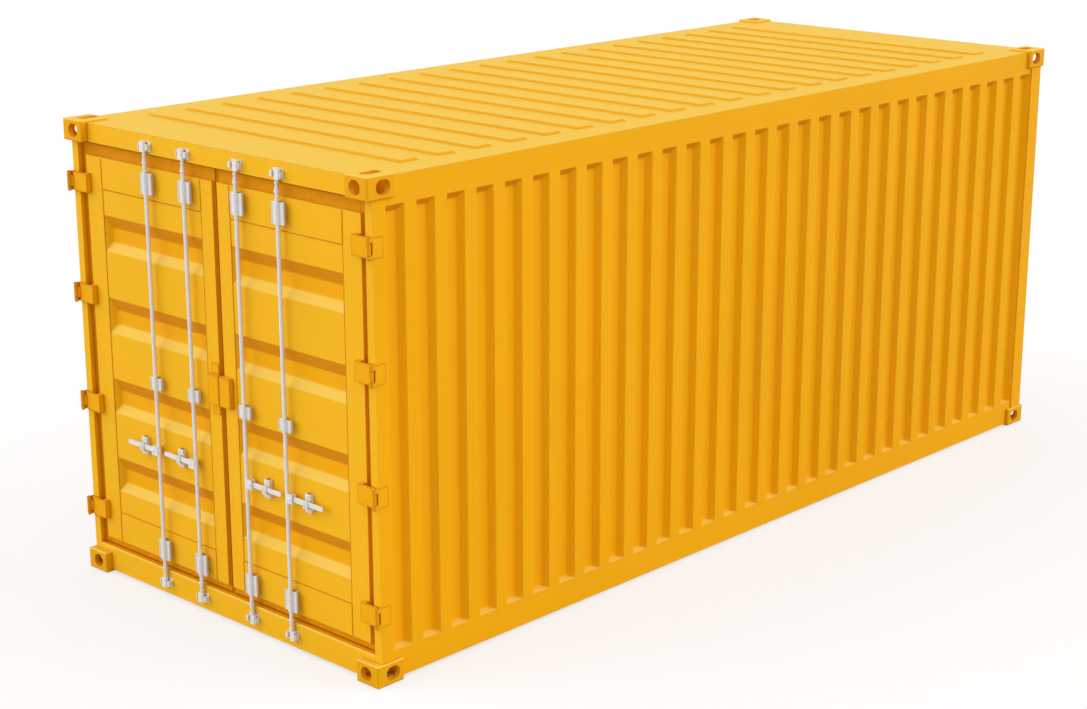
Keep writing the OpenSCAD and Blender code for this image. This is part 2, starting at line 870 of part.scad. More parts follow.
// Bearing of a rod with a lipped front plate on two webs, drawn at the rod axis, standing on the door at y1
module bracket(y1, height) {
    inner = rod_r + bracket_gap;
    half = bracket_width / 2;
    translate([0, 0, -height / 2]) linear_extrude(height = height) difference() {
        union() {
            circle(r = inner + bracket_plate);
            translate([-half, bracket_seat]) square([bracket_width, bracket_plate]);
            for (s = [0, 1]) mirror([s, 0]) {
                translate([half - bracket_plate, bracket_seat - bracket_lip])
                    square([bracket_plate, bracket_lip + bracket_plate]);
                translate([bracket_base / 2 - bracket_plate, bracket_seat])
                    square([bracket_plate, y1 - bracket_seat]);
            }
        }
        circle(r = inner);
    }
}

// Brackets and guides of the left leaf
module rod_brackets() {
    for (x = [-rod_outer_x, -rod_inner_x]) {
        for (z = [panel_low - bracket_low_edge - bracket_height / 2,
                panel_high + bracket_high_edge + bracket_height / 2])
            translate([x, rod_y, z]) bracket(door_y - rod_y, bracket_height);
        translate([x, rod_y, guide_z]) bracket(panel_y - rod_y, guide_height);
    }
}

module left_rod_brackets() {
    color(zinc) rod_brackets();
}

module right_rod_brackets() {
    color(zinc) mirror([1, 0, 0]) rod_brackets();
}

// Catches of the left leaf, each a hat section behind the handle with a shelf under it
module handle_catches() {
    shelf_z = handle_z - handle_height / 2 - shelf_gap;
    front = rod_y + handle_thick / 2 + catch_gap;
    low = handle_z - catch_height / 2;
    high = handle_z + catch_height / 2;
    for (x = [-rod_outer_x - catch_reach, -rod_inner_x - catch_reach]) {
        difference() {
            box([x - catch_width / 2, front, low], [x + catch_width / 2, panel_y, high]);
            box([x - catch_width / 2 + catch_plate, front + catch_plate, low - eps],
                [x + catch_width / 2 - catch_plate, panel_y + eps, high + eps]);
        }
        box([x - catch_width / 2, front - shelf_reach, shelf_z - shelf_thick],
            [x + catch_width / 2, front, shelf_z]);
    }
}

module left_handle_catches() {
    color(zinc) handle_catches();
}

module right_handle_catches() {
    color(zinc) mirror([1, 0, 0]) handle_catches();
}

// Hollow half of the lock plate between two places across the doors
module lock_half(x0, x1, y1) {
    y0 = door_y - backing_thick - lock_depth;
    difference() {
        box([x0, y0, lock_low], [x1, y1, lock_low + lock_height]);
        box([x0 + lock_wall, y0 + lock_wall, lock_low + lock_wall],
            [x1 - lock_wall, y1 + eps, lock_low + lock_height - lock_wall]);
    }
}

module left_lock_plate() {
    mid = lock_low + lock_height / 2;
    color(paint) {
        lock_half(-lock_left - lock_split / 2, -lock_split / 2, door_y - backing_thick);
        box([-seam_x - backing_width, door_y - backing_thick, mid - backing_height / 2],
            [-seam_x, door_y, mid + backing_height / 2]);
    }
}

module right_lock_plate() {
    color(paint) lock_half(lock_split / 2, lock_split / 2 + lock_right, door_y);
}

// Locking rod of the left leaf at its axis, with its cams and handle hub
module lock_rod() {
    low = cam_low_z + cam_height / 2;
    high = cam_high - cam_height / 2;
    translate([0, 0, low + neck_length]) cylinder(r = rod_r, h = high - low - 2 * neck_length);
    translate([0, 0, low - eps]) cylinder(r = neck_r, h = high - low + 2 * eps);
    for (z = [cam_low_z, cam_high]) {
        translate([0, 0, z - cam_height / 2]) cylinder(r = cam_r, h = cam_height);
        box([-cam_nose, -cam_thick / 2, z - cam_height / 2], [0, cam_thick / 2, z + cam_height / 2]);
    }
    difference() {
        box([-pivot_reach - handle_height / 2, -hub_depth / 2, handle_z - hub_height / 2],
            [0, hub_depth / 2, handle_z + hub_height / 2]);
        box([-2 * pivot_reach, -handle_thick / 2 - hub_gap, handle_z - hub_height],
            [handle_height / 2 + hub_gap - pivot_reach, handle_thick / 2 + hub_gap, handle_z + hub_height]);
    }
    translate([-pivot_reach, 0, handle_z]) rotate([90, 0, 0])
        cylinder(r = pivot_r, h = hub_depth, center = true);
}

module left_outer_rod() {
    color(zinc) translate([-rod_outer_x, rod_y, 0]) lock_rod();
}

module left_inner_rod() {
    color(zinc) translate([-rod_inner_x, rod_y, 0]) lock_rod();
}

module right_inner_rod() {
    color(zinc) mirror([1, 0, 0]) translate([-rod_inner_x, rod_y, 0]) lock_rod();
}

module right_outer_rod() {
    color(zinc) mirror([1, 0, 0]) translate([-rod_outer_x, rod_y, 0]) lock_rod();
}

// Handle of the left leaf, drawn at the rod axis
module handle() {
    reach = handle_reach - handle_tip / 2;
    translate([0, handle_thick / 2, handle_z]) rotate([90, 0, 0]) linear_extrude(height = handle_thick)
        difference() {
            union() {
                polygon([[-reach, -handle_tip / 2], [-pivot_reach, -handle_height / 2],
                    [-pivot_reach, handle_height / 2], [-reach, handle_tip / 2]]);
                translate([-reach, 0]) circle(d = handle_tip);
                translate([-pivot_reach, 0]) circle(d = handle_height);
            }
            translate([-pivot_reach, 0]) circle(r = pivot_r + pivot_clearance);
        }
}

module left_outer_handle() {
    color(zinc) translate([-rod_outer_x, rod_y, 0]) handle();
}

module left_inner_handle() {
    color(zinc) translate([-rod_inner_x, rod_y, 0]) handle();
}

module right_inner_handle() {
    color(zinc) mirror([1, 0, 0]) translate([-rod_inner_x, rod_y, 0]) handle();
}

module right_outer_handle() {
    color(zinc) mirror([1, 0, 0]) translate([-rod_outer_x, rod_y, 0]) handle();
}

bottom_corner_castings();
top_corner_castings();
left_door_post();
right_door_post();
left_front_post();
right_front_post();
door_header();
door_sill();
front_top_rail();
front_bottom_rail();
left_top_rail();
right_top_rail();
left_bottom_rail();
right_bottom_rail();
left_side_wall();
right_side_wall();
front_wall();
roof_panel();
floor_cross_members();
floor_boards();
cam_keepers();
left_hinge_lugs();
right_hinge_lugs();
left_door_frame();
left_door_panel();
left_door_seal();
left_hinge_straps();
left_rod_brackets();
left_handle_catches();
left_lock_plate();
right_door_frame();
right_door_panel();
right_door_seal();
right_hinge_straps();
right_rod_brackets();
right_handle_catches();
right_lock_plate();
left_outer_rod();
left_inner_rod();
right_inner_rod();
right_outer_rod();
left_outer_handle();
left_inner_handle();
right_inner_handle();
right_outer_handle();
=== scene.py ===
"""Looks of the shipping container: paint, pressed sheets, door hardware, seals, floor and stage.

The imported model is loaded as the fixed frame, and every piece made here rides on one of its bodies.
"""

import json
import math
from contextlib import contextmanager

import bmesh
import bpy
from bpy.props import FloatProperty, FloatVectorProperty, IntProperty, PointerProperty
from mathutils import Matrix, Vector


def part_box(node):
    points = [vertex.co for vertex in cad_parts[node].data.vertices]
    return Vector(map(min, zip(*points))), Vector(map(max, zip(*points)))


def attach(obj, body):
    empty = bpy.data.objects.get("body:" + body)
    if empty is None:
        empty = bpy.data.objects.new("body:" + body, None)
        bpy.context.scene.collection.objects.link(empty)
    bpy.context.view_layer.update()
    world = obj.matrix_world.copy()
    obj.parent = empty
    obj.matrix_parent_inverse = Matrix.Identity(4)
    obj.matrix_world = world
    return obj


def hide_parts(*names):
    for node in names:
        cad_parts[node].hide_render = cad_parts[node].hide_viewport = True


bl_info = {
    "name": "Shipping Container Looks",
    "version": (1, 0, 0),
    "blender": (4, 5, 0),
    "location": "3D View > Sidebar > Container",
    "description": "Dresses a shipping container with paint, pressed sheets, door hardware and a stage",
    "category": "Object",
}

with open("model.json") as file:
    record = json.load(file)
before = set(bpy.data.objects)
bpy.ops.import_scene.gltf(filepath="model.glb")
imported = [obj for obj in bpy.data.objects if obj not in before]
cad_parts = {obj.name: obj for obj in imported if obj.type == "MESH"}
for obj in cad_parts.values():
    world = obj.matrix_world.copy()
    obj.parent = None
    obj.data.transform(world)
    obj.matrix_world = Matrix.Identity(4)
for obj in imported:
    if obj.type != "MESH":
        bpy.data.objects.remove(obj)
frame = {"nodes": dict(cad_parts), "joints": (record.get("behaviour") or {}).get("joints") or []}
NODES = frame["nodes"]
JOINTS = {j["name"]: j for j in frame["joints"]}
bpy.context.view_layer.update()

SIDES = ("left", "right")
ROWS = ("outer", "inner")
RODS = [(side, row) for side in SIDES for row in ROWS]
# Direction along X in which the handles of a leaf point
HANDLE_WAY = {"left": -1, "right": 1}
GALVANISED = [n for n in NODES if n.endswith(("_rod", "_handle", "_brackets", "_catches", "_keepers"))]
PAINTED = [n for n in NODES if n not in GALVANISED and n != "floor_boards" and not n.endswith("_seal")]
# Pressed sheets and the body that each one rides on
SHEETS = {
    "left_side_wall": "container", "right_side_wall": "container", "front_wall": "container",
    "roof_panel": "container", "left_door_panel": "left_door", "right_door_panel": "right_door",
}

# Turns that make a head look up or down instead of along -Y
LOOK_UP = Matrix.Rotation(math.radians(-90.0), 4, "X")
LOOK_DOWN = Matrix.Rotation(math.radians(90.0), 4, "X")
# Corners closer than this are one corner
WELD_REACH = 0.00002
# Bends of a pressed sheet, in degrees: less is a flat face, more is the cut rim of the sheet
LEAST_BEND, MOST_BEND = 14.0, 82.0
# Edges with a larger angle than this are corners that get rounded, in degrees
CORNER = 60.0
# Height of the lower border of a wall that keeps its sharp bends
WALL_BORDER = 0.006
# Height of the heads of rivets and hinge pins
HEAD_HEIGHT = 0.0045
# A face looks along an axis when its normal reaches this far
SQUARE = 0.9
# Share by which larger faces lead when the shading is evened out
FLAT_LEAD = 80

# How far a face looks up, down or out where its tone starts to change and where it has changed: painted
# highlight on faces that look up, painted shade on faces that look down and painted light on faces that
# look out at the door end
UPWARD, LEVEL, DOWNWARD, OUTWARD = (0.25, 0.5), (0.975, 0.995), (-0.2, -0.45), (-0.5, -0.7)
# Reach of the painted shade in corners and hollows, of the chips along edges and of the darker band along
# the edges of plates
CORNER_REACH, HOLLOW_REACH, CHIP_REACH, DARK_EDGE_REACH = 0.03, 0.10, 0.004, 0.015
# Depth under the face of a door panel where the painted light on its proud faces starts to end and where it
# has ended; the recess floors keep the deeper tone as painted shade
RECESS_FADE = (0.008, 0.016)
# Distance under the top of the sill where the painted highlight along its upper edge starts and where it is
# full
SILL_HIGHLIGHT = (0.014, 0.010)

WHITE = (1.0, 1.0, 1.0)
COLOUR = {"subtype": "COLOR", "size": 3, "min": 0.0, "max": 1.0}
SHARE = {"subtype": "FACTOR", "min": 0.0, "max": 1.0}


class ContainerFinish(bpy.types.PropertyGroup):
    """Colours and surface values of the container."""

    paint: FloatVectorProperty(
        name="Paint", description="Colour of the painted steel", default=(0.910, 0.418, 0.0), **COLOUR)
    # Painted light: the lighter tone of faces that look out at the door end and of the proud faces of the
    # door panels
    door_end_light: FloatVectorProperty(
        name="Door end paint", description="Lighter coat on the door end", default=(0.925, 0.485, 0.010),
        **COLOUR)
    # Painted highlight on level faces that look up
    level_highlight: FloatVectorProperty(
        name="Faded paint", description="Paint on level faces that are bleached by the sun",
        default=(0.778, 0.480, 0.040), **COLOUR)
    # Painted highlight on pressed slopes that lean up, and a lighter share of it along the upper edge of
    # the sill
    highlighted: FloatVectorProperty(
        name="Bleached paint", description="Paint on the pressed slopes that look up",
        default=(0.845, 0.548, 0.078), **COLOUR)
    # Painted shade on faces that look down and in tight corners; also the darker band along plate edges and
    # the tone of the random streaks
    shade_and_streaks: FloatVectorProperty(
        name="Sheltered paint", description="Deeper paint on faces that look down and in tight corners",
        default=(0.750, 0.272, 0.0), **COLOUR)
    # Painted shade on the level faces of the sill under the doors and in the hollows of the castings
    ledge: FloatVectorProperty(
        name="Ledge paint", description="Unfaded paint on the ledge under the doors and in the castings",
        default=(0.860, 0.365, 0.0), **COLOUR)
    chipped: FloatVectorProperty(
        name="Rubbed paint", description="Thin paint along worn edges", default=(0.880, 0.560, 0.130),
        **COLOUR)
    zinc: FloatVectorProperty(
        name="Zinc", description="Colour of the galvanised door hardware", default=(0.760, 0.745, 0.725),
        **COLOUR)
    rubber: FloatVectorProperty(
        name="Seal rubber", description="Colour of the overpainted door seals",
        default=(0.755, 0.292, 0.001), **COLOUR)
    sealant: FloatVectorProperty(
        name="Sealant", description="Colour of the sealing beads round the door panels",
        default=(0.630, 0.220, 0.004), **COLOUR)
    plywood: FloatVectorProperty(
        name="Plywood", description="Colour of the floor boards", default=(0.330, 0.170, 0.075), **COLOUR)
    paint_roughness: FloatProperty(
        name="Paint roughness", description="Mean roughness of the paint", default=0.56, **SHARE)
    wear: FloatProperty(
        name="Edge wear", description="Share of rubbed paint along the edges", default=0.35, **SHARE)


class ContainerSizes(bpy.types.PropertyGroup):
    """Sizes of the pieces that are made here."""

    wall_bend: FloatProperty(
        name="Wall bend", description="Reach of the rounded bends of the pressed walls",
        unit="LENGTH", default=0.005)
    sheet_bend: FloatProperty(
        name="Roof and door bend", description="Reach of the rounded bends of roof and door sheets",
        unit="LENGTH", default=0.004)
    frame_edge: FloatProperty(
        name="Frame edge", description="Reach of the rounded edges of the frame members",
        unit="LENGTH", default=0.0018)
    rail_edge: FloatProperty(
        name="Rail edge", description="Reach of the rounded edges of the side rails",
        unit="LENGTH", default=0.0006)
    hardware_edge: FloatProperty(
        name="Hardware edge", description="Reach of the rounded edges of the door hardware",
        unit="LENGTH", default=0.0016)
    bead_width: FloatProperty(
        name="Bead width", description="Width of the sealing bead round a door panel",
        unit="LENGTH", default=0.007)
    bead_height: FloatProperty(
        name="Bead height", description="Height of the sealing bead over the panel",
        unit="LENGTH", default=0.0026)
    collar_radius: FloatProperty(
        name="Collar radius", description="Radius of the collars at the rod ends",
        unit="LENGTH", default=0.0148)
    collar_height: FloatProperty(
        name="Collar height", description="Height of a rod collar", unit="LENGTH", default=0.016)
    ring_radius: FloatProperty(
        name="Neck ring radius", description="Radius of the ring on a rod neck",
        unit="LENGTH", default=0.0115)
    cam_height: FloatProperty(
        name="Cam height", description="Height of the cam at a rod end", unit="LENGTH", default=0.052)
    neck_length: FloatProperty(
        name="Neck length", description="Length of the rod neck beside a cam",
        unit="LENGTH", default=0.038)
    rivet_radius: FloatProperty(
        name="Rivet radius", description="Radius of the rivets of a handle catch",
        unit="LENGTH", default=0.0075)
    catch_reach: FloatProperty(
        name="Catch reach", description="Distance of a handle catch from the rod axis",
        unit="LENGTH", default=0.147)
    clip_width: FloatProperty(
        name="Clip width", description="Width of a handle clip", unit="LENGTH", default=0.036)
    clip_height: FloatProperty(
        name="Clip height", description="Height of a handle clip", unit="LENGTH", default=0.0345)
    hinge_height: FloatProperty(
        name="Hinge height", description="Height of a hinge", unit="LENGTH", default=0.105)
    hinge_count: IntProperty(
        name="Hinges", description="Number of hinges on a leaf", min=2, default=4)
    screw_radius: FloatProperty(
        name="Screw radius", description="Radius of the floor screw heads", unit="LENGTH", default=0.007)
    screw_rows: IntProperty(
        name="Screw rows", description="Rows of floor screws along the length", min=2, default=16)
    screw_columns: IntProperty(
        name="Screw columns", description="Floor screws in a row", min=2, default=10)


class ContainerStage(bpy.types.PropertyGroup):
    """Camera, floor and light."""

    camera_place: FloatVectorProperty(
        name="Camera place", description="Where the camera stands", subtype="TRANSLATION", size=3,
        default=(8.496, -9.568, 4.524))
    camera_yaw: FloatProperty(
        name="Camera yaw", description="Turn of the camera to the left", subtype="ANGLE",
        default=math.radians(43.24))
    camera_pitch: FloatProperty(
        name="Camera pitch", description="Downward tilt of the camera", subtype="ANGLE",
        default=math.radians(15.95))
    camera_lens: FloatProperty(
        name="Camera lens", description="Focal length in millimetres", min=1.0, default=70.62)
    floor_size: FloatProperty(
        name="Floor size", description="Side of the floor", unit="LENGTH", default=240.0)
    floor_shadow: FloatProperty(
        name="Floor shadow", description="Share of the floor's white that takes shadow",
        default=0.35, **SHARE)
    sky_level: FloatProperty(
        name="Sky level", description="Strength of the soft light at the horizon", default=1.08)
    zenith_level: FloatProperty(
        name="Zenith level", description="Strength of the soft light from above", default=0.6)
    raking_level: FloatProperty(
        name="Raking level", description="Strength of each raking lamp", default=1.66)
    lamp_spread: FloatProperty(
        name="Lamp spread", description="Apparent width of each raking lamp", subtype="ANGLE",
        default=math.radians(70.0))
    lamp_tilt: FloatProperty(
        name="Lamp tilt", description="Tilt of each raking lamp from straight down", subtype="ANGLE",
        default=math.radians(65.0))
    lamp_turn: FloatProperty(
        name="Lamp turn", description="Turn of the left raking lamp; the right one faces it",
        subtype="ANGLE", default=math.radians(-45.0))


def finish():
    """Colours and surface values of the scene."""
    return bpy.context.scene.container_finish


def sizes():
    """Sizes of the pieces in the scene."""
    return bpy.context.scene.container_sizes


# Modelling

def joint_place(name):
    """Point on the axis of a joint, in the row frame."""
    return Vector(JOINTS[name]["pos_m"])


def spread(low, high, count):
    """Evenly spaced places from low to high."""
    return [low + i * (high - low) / (count - 1) for i in range(count)]


def deselect_all():
    """Leaves edit mode and deselects every object."""
    if bpy.context.object is not None and bpy.context.object.mode != "OBJECT":
        bpy.ops.object.mode_set(mode="OBJECT")
    bpy.ops.object.select_all(action="DESELECT")


def make_active(obj):
    """Makes an object the only selected one and the active one."""
    deselect_all()
    obj.select_set(True)
    bpy.context.view_layer.objects.active = obj


@contextmanager
def edit(obj):
    """Edit mode on one object, with nothing selected at the start."""
    make_active(obj)
    bpy.ops.object.mode_set(mode="EDIT")
    bpy.ops.mesh.select_mode(type="FACE")
    bpy.ops.mesh.select_all(action="DESELECT")
    yield obj
    bpy.ops.object.mode_set(mode="OBJECT")


def pick(obj, kind, test):
    """Selects the faces or the edges that pass the test, in edit mode."""
    bpy.ops.mesh.select_mode(type=kind)
    bpy.ops.mesh.select_all(action="DESELECT")
    mesh = bmesh.from_edit_mesh(obj.data)
    found = [item for item in (mesh.faces if kind == "FACE" else mesh.edges) if test(item)]
    if not found:
        raise RuntimeError(f"no {kind.lower()} of {obj.name} passes the test")
    for item in found:
        item.select_set(True)
    mesh.select_flush_mode()
    bmesh.update_edit_mesh(obj.data)


def pick_faces(obj, test):
    """Selects the faces whose centre and normal pass the test, in edit mode."""
    pick(obj, "FACE", lambda face: test(face.calc_center_median(), face.normal))


def bend_angle(edge):
    """Angle between the two faces at an edge, in degrees."""
    if len(edge.link_faces) != 2:
        return 0.0
    return math.degrees(edge.calc_face_angle(0.0))


def extrude(*move):
    """Extrudes the selection along a move, in edit mode."""
    bpy.ops.mesh.extrude_region_move(TRANSFORM_OT_translate={"value": move})


def bevel(reach):
    """Rounds the selected edges, in edit mode."""
    bpy.ops.mesh.bevel(offset=reach, segments=2, affect="EDGES", clamp_overlap=False)


def round_corners(obj, reach):
    """Rounds every corner of a piece, in edit mode."""
    pick(obj, "EDGE", lambda edge: bend_angle(edge) > CORNER)
    bevel(reach)


def face_outward():
    """Turns every face outward and leaves all selected, in edit mode."""
    bpy.ops.mesh.select_all(action="SELECT")
    bpy.ops.mesh.normals_make_consistent(inside=False)


def apply_place(obj):
    """Applies an object's place, turn and scale, so that they are in its mesh."""
    make_active(obj)
    bpy.ops.object.transform_apply(location=True, rotation=True, scale=True)


def smooth(obj, angle, weighted=True):
    """Smooth shading up to an angle in degrees, with flat faces kept flat."""
    make_active(obj)
    bpy.ops.object.shade_smooth_by_angle(angle=math.radians(angle))
    if weighted:
        normals = obj.modifiers.new("Flat faces", "WEIGHTED_NORMAL")
        normals.keep_sharp = True
        normals.weight = FLAT_LEAD
        bpy.ops.object.modifier_apply(modifier=normals.name)


def copy_of(master, name, move=Matrix.Identity(4)):
    """A copy with its own mesh, moved in its mesh."""
    mesh = master.data.copy()
    mesh.transform(move)
    obj = bpy.data.objects.new(name, mesh)
    bpy.context.scene.collection.objects.link(obj)
    return obj


def clean_copy(node, name):
    """A copy of a solid of the frame with its corners welded and its flat faces undivided."""
    piece = copy_of(NODES[node], name)
    make_active(piece)
    bpy.ops.mesh.customdata_custom_splitnormals_clear()
    with edit(piece):
        bpy.ops.mesh.select_all(action="SELECT")
        bpy.ops.mesh.remove_doubles(threshold=WELD_REACH)
        bpy.ops.mesh.dissolve_limited(angle_limit=math.radians(0.4))
    return piece


def join(parts, name):
    """Joins objects into one piece."""
    deselect_all()
    for part in parts:
        part.select_set(True)
    bpy.context.view_layer.objects.active = parts[0]
    if len(parts) > 1:
        bpy.ops.object.join()
    piece = bpy.context.view_layer.objects.active
    piece.name = name
    piece.data.name = name
    return piece


def set_out(master, moves, name):
    """One piece made of copies of a master, which stays for its maker to remove."""
    return join([copy_of(master, f"{name}_{i}", move) for i, move in enumerate(moves)], name)


def remove(obj):
    """Removes an object and its mesh."""
    mesh = obj.data
    bpy.data.objects.remove(obj)
    bpy.data.meshes.remove(mesh)


def settle(piece, body, material):
    """Gives a finished piece its material and the body that it rides on."""
    piece.data.materials.clear()
    piece.data.materials.append(material)
    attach(piece, body)


# Materials

def empty_tree(owner, kind):
    """The emptied node tree of a material or a world, and its output node."""
    owner.use_nodes = True
    tree = owner.node_tree
    tree.nodes.clear()
    return tree, tree.nodes.new(kind)


def start_material(name):
    """An empty node material with its shader and the Object coordinates, or the one made before."""
    material = bpy.data.materials.get(name)
    if material is not None:
        return material, None, None, None
    material = bpy.data.materials.new(name)
    tree, out = empty_tree(material, "ShaderNodeOutputMaterial")
    shader = tree.nodes.new("ShaderNodeBsdfPrincipled")
    tree.links.new(shader.outputs["BSDF"], out.inputs["Surface"])
    place = tree.nodes.new("ShaderNodeTexCoord")
    return material, tree, shader, place.outputs["Object"]


def feed(tree, socket, value):
    """Links a socket to another one, or sets a number or three colour numbers on it."""
    if isinstance(value, bpy.types.NodeSocket):
        tree.links.new(value, socket)
    elif socket.type == "RGBA":
        socket.default_value = (*value, 1.0)
    else:
        socket.default_value = value


def shade(colour, factor):
    """A colour made deeper or lighter."""
    return [min(1.0, c * factor) for c in colour]


def noise(tree, place, scale, detail=3.0, roughness=0.5, stretch=None):
    """Noise on Object coordinates, with its pattern stretched where asked."""
    if stretch is not None:
        mapping = tree.nodes.new("ShaderNodeMapping")
        mapping.inputs["Scale"].default_value = stretch
        tree.links.new(place, mapping.inputs["Vector"])
        place = mapping.outputs["Vector"]
    node = tree.nodes.new("ShaderNodeTexNoise")
    for name, value in (("Scale", scale), ("Detail", detail), ("Roughness", roughness)):
        node.inputs[name].default_value = value
    tree.links.new(place, node.inputs["Vector"])
    return node.outputs["Fac"]


def remap(tree, value, low, high, to_low=0.0, to_high=1.0, smoothed=False):
    """Maps a value from one range to another, held at the ends."""
    node = tree.nodes.new("ShaderNodeMapRange")
    node.interpolation_type = "SMOOTHSTEP" if smoothed else "LINEAR"
    for name, end in (("From Min", low), ("From Max", high), ("To Min", to_low), ("To Max", to_high)):
        node.inputs[name].default_value = end
    tree.links.new(value, node.inputs["Value"])
    return node.outputs["Result"]


def math_node(tree, operation, a, b):
    """Joins two values by an operation; a value is a socket or a number."""
    node = tree.nodes.new("ShaderNodeMath")
    node.operation = operation
    feed(tree, node.inputs[0], a)
    feed(tree, node.inputs[1], b)
    return node.outputs["Value"]


def blend(tree, factor, a, b, mode="MIX"):
    """Mixes two colours; a colour is a socket or three numbers."""
    node = tree.nodes.new("ShaderNodeMix")
    node.data_type = "RGBA"
    node.blend_type = mode
    for socket, value in zip([s for s in node.inputs if s.type == "RGBA"], (a, b)):
        feed(tree, socket, value)
    feed(tree, node.inputs["Factor"], factor)
    return [s for s in node.outputs if s.type == "RGBA"][0]


def bump(tree, shader, height, strength, distance, under=None):
    """Gives a shader a relief, over another relief where one is given."""
    node = tree.nodes.new("ShaderNodeBump")
    node.inputs["Strength"].default_value = strength
    node.inputs["Distance"].default_value = distance
    tree.links.new(height, node.inputs["Height"])
    if under is not None:
        tree.links.new(under, node.inputs["Normal"])
    tree.links.new(node.outputs["Normal"], shader.inputs["Normal"])
    return node.outputs["Normal"]


def along(tree, vector, axis):
    """The share of a vector along one axis."""
    split = tree.nodes.new("ShaderNodeSeparateXYZ")
    tree.links.new(vector, split.inputs["Vector"])
    return split.outputs[axis]


def facing(tree, axis="Z"):
    """How far the surface looks along an axis of its piece, from -1 to 1."""
    place = tree.nodes.new("ShaderNodeTexCoord")
    return along(tree, place.outputs["Normal"], axis)


def looks_out(tree, place):
    """Strong on the faces that look out at the door end."""
    return remap(tree, facing(tree, "Y"), *OUTWARD)


def edge_mask(tree, radius, low, high):
    """Strong along edges, from the difference between rounded and true normals."""
    rounded = tree.nodes.new("ShaderNodeBevel")
    rounded.samples = 4
    rounded.inputs["Radius"].default_value = radius
    geometry = tree.nodes.new("ShaderNodeNewGeometry")
    dot = tree.nodes.new("ShaderNodeVectorMath")
    dot.operation = "DOT_PRODUCT"
    tree.links.new(rounded.outputs["Normal"], dot.inputs[0])
    tree.links.new(geometry.outputs["True Normal"], dot.inputs[1])
    return remap(tree, dot.outputs["Value"], high, low)


def crevice_mask(tree, distance, open_at, closed_at, local=False):
    """Strong in tight corners and gaps, or only in those of the piece itself."""
    node = tree.nodes.new("ShaderNodeAmbientOcclusion")
    node.samples = 6
    node.only_local = local
    node.inputs["Distance"].default_value = distance
    return remap(tree, node.outputs["AO"], open_at, closed_at)


def paint_coat(name, second=None, mask=None, slopes=True, level=None, lightened=None, hollow_shade=False,
               dark_edges=False, depth=1.0):
    """Satin paint on steel, with painted light and shade by facing and in corners, random streaks and worn
    edges.

    second and mask: another tone and where it lies. slopes: painted highlight where a face leans up. level:
    tone of level faces, the painted highlight if not given. rubbed: a band of painted highlight. hollow:
    painted shade
    in the hollows of the piece. grime: darker along edges. depth: factor on the paint's colour.
    """
    material, tree, shader, place = start_material(name)
    if tree is None:
        return material
    look = finish()
    tone = shade(look.paint, depth)
    if second is not None:
        tone = blend(tree, mask(tree, place), tone, second)
    patches = remap(tree, noise(tree, place, scale=1.3, detail=4.0), 0.3, 0.7)
    tone = blend(tree, 1.0, tone, blend(tree, patches, shade(WHITE, 0.965), WHITE), "MULTIPLY")
    streaks = noise(tree, place, scale=1.0, roughness=0.6, stretch=(9.0, 9.0, 0.5))
    tone = blend(tree, remap(tree, streaks, 0.52, 0.78, 0.0, 0.08), tone, look.shade_and_streaks)
    mottle = remap(tree, noise(tree, place, scale=5.0), 0.0, 1.0, -0.01, 0.01)
    up = math_node(tree, "ADD", facing(tree), mottle)
    # Painted highlight in a band along an edge, where one is asked for
    if lightened is not None:
        tone = blend(tree, lightened(tree, place), tone, shade(look.highlighted, 1.12))
    # Painted highlight on faces that lean up
    if slopes:
        tone = blend(tree, remap(tree, up, *UPWARD, smoothed=True), tone, look.highlighted)
    # Painted highlight on level faces that look up, unless another level tone is given
    tone = blend(tree, remap(tree, up, *LEVEL, smoothed=True), tone, level or look.level_highlight)
    # Painted shade on faces that look down
    tone = blend(tree, remap(tree, up, *DOWNWARD, smoothed=True), tone, look.shade_and_streaks)
    # Painted shade in tight corners and gaps, found by ambient occlusion
    deep = shade(look.shade_and_streaks, 0.9)
    tone = blend(tree, crevice_mask(tree, CORNER_REACH, 0.62, 0.25), tone, deep)
    # Painted shade inside the hollows of the piece
    if hollow_shade:
        tone = blend(tree, crevice_mask(tree, HOLLOW_REACH, 0.85, 0.65, True), tone, look.ledge)
    spots = noise(tree, place, scale=22.0, detail=5.0, roughness=0.65)
    chips = math_node(tree, "MULTIPLY", edge_mask(tree, CHIP_REACH, 0.9, 0.99),
                      remap(tree, spots, 0.42, 0.62, 0.0, look.wear))
    tone = blend(tree, chips, tone, look.chipped)
    # Darker along every edge of the piece, in the deep tone
    if dark_edges:
        tone = blend(tree, edge_mask(tree, DARK_EDGE_REACH, 0.965, 0.996), tone, deep)
    feed(tree, shader.inputs["Base Color"], tone)
    gloss = remap(tree, noise(tree, place, scale=7.0, detail=5.0, roughness=0.6), 0.3, 0.7,
                  look.paint_roughness - 0.06, look.paint_roughness + 0.06)
    feed(tree, shader.inputs["Roughness"], gloss)
    feed(tree, shader.inputs["Specular IOR Level"], 0.1)
    waves = bump(tree, shader, noise(tree, place, scale=2.2, detail=2.0), 0.25, 0.004)
    bump(tree, shader, noise(tree, place, scale=420.0, detail=2.0), 0.06, 0.0006, waves)
    return material


def container_paint():
    """Paint of the sides and rails."""
    return paint_coat("container_paint")


def casting_paint():
    """Paint of the corner castings, a little deeper on the rough cast steel, with painted shade in the
    hollows.
    """
    return paint_coat("casting_paint", hollow_shade=True, depth=0.93)


def plate_paint():
    """Paint of the hinges and the lock plate, darker along the edges of the plates."""
    return paint_coat("plate_paint", dark_edges=True)


def roof_paint():
    """Paint of the roof, with a painted highlight on its level faces and not on the slopes of the ribs."""
    return paint_coat("roof_paint", slopes=False, depth=0.82)


def door_end_paint():
    """Painted light: a lighter tone on the faces of the frame that look out at the door end."""
    return paint_coat("door_end_paint", finish().door_end_light, looks_out)


